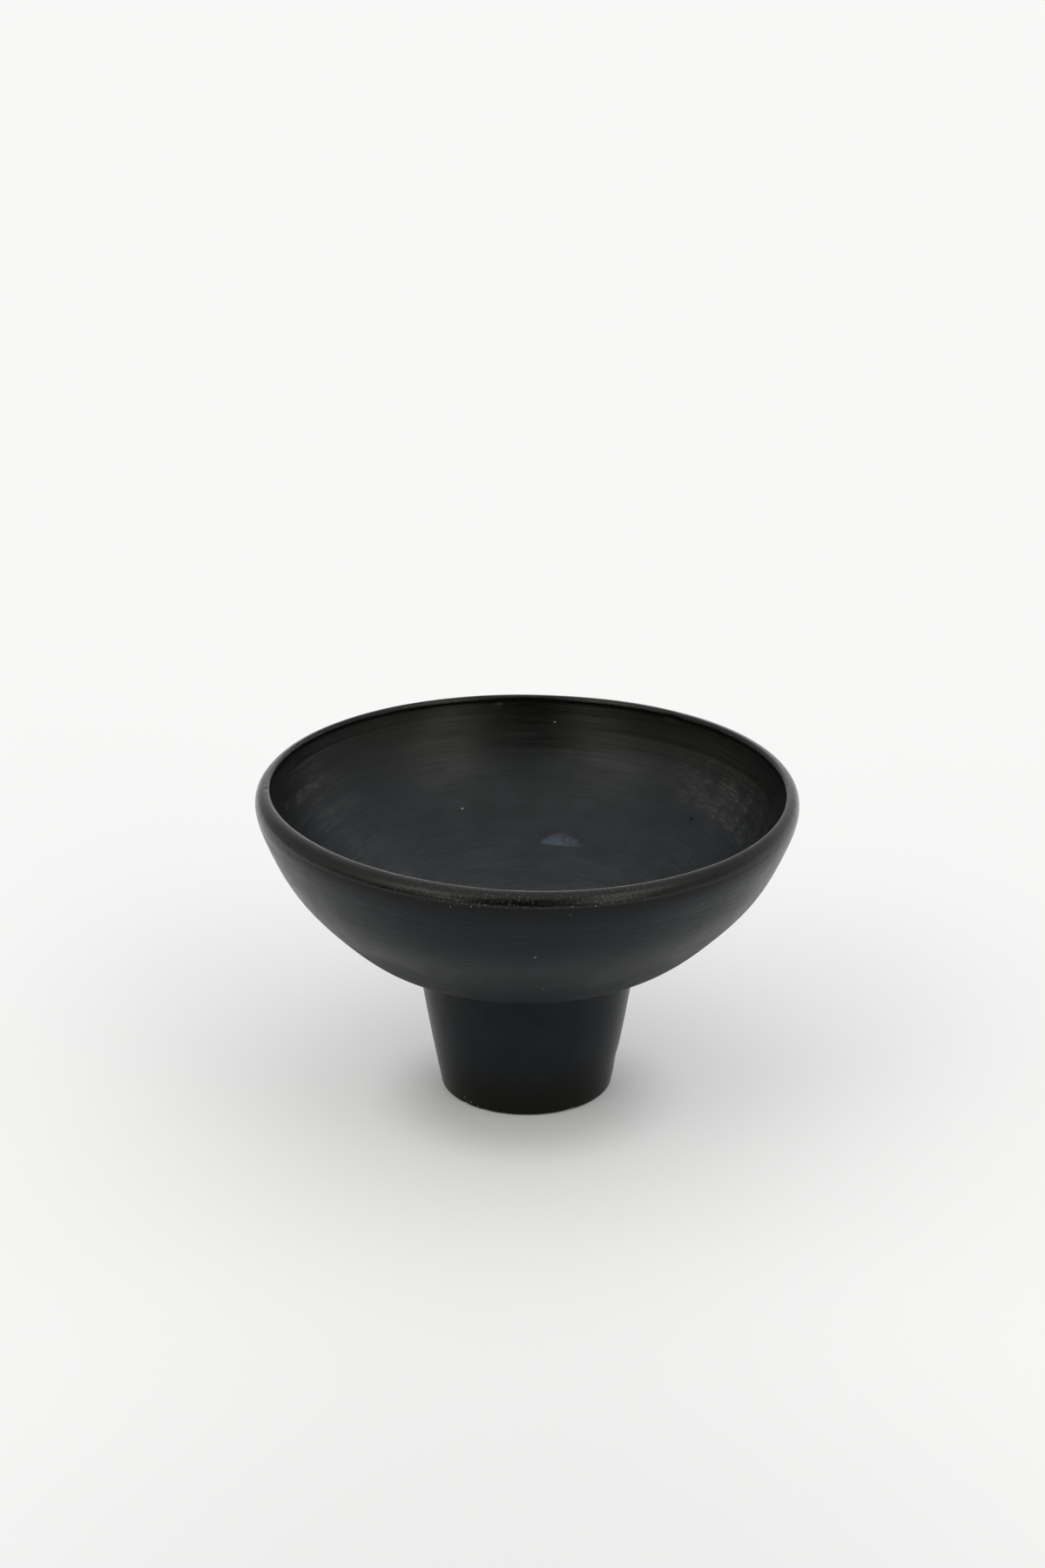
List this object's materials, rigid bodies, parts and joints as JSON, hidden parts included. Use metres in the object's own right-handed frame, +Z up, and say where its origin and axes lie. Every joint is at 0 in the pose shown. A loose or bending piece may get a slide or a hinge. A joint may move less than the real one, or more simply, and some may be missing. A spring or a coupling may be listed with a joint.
{
  "type": "footed bowl",
  "caption": "Wide round ceramic bowl with a rounded lip on a tall, hollow, tapered foot, thrown and luted together.",
  "frame": {"origin": "on the surface that the foot stands on, under the middle of the object", "axes": "+Z up along the axis of turning; -Y towards the side that the picture shows; +X to the right there"},
  "size_m": [0.2104, 0.2106, 0.1268],
  "materials": {
    "bowl_surface": "satin charcoal black, fine throwing lines, slightly pebbled on the lip",
    "foot_surface": "smooth satin black, a little duller than the bowl",
    "slip_clay": "matt black slip in the joint",
    "coil_clay": "matt dark clay, smoothed with a finger"
  },
  "bodies": {
    "root": {"bowl": "bowl_surface", "pedestal_foot": "foot_surface", "luting_slip": "slip_clay", "seam_coil": "coil_clay"}
  },
  "joints": []
}
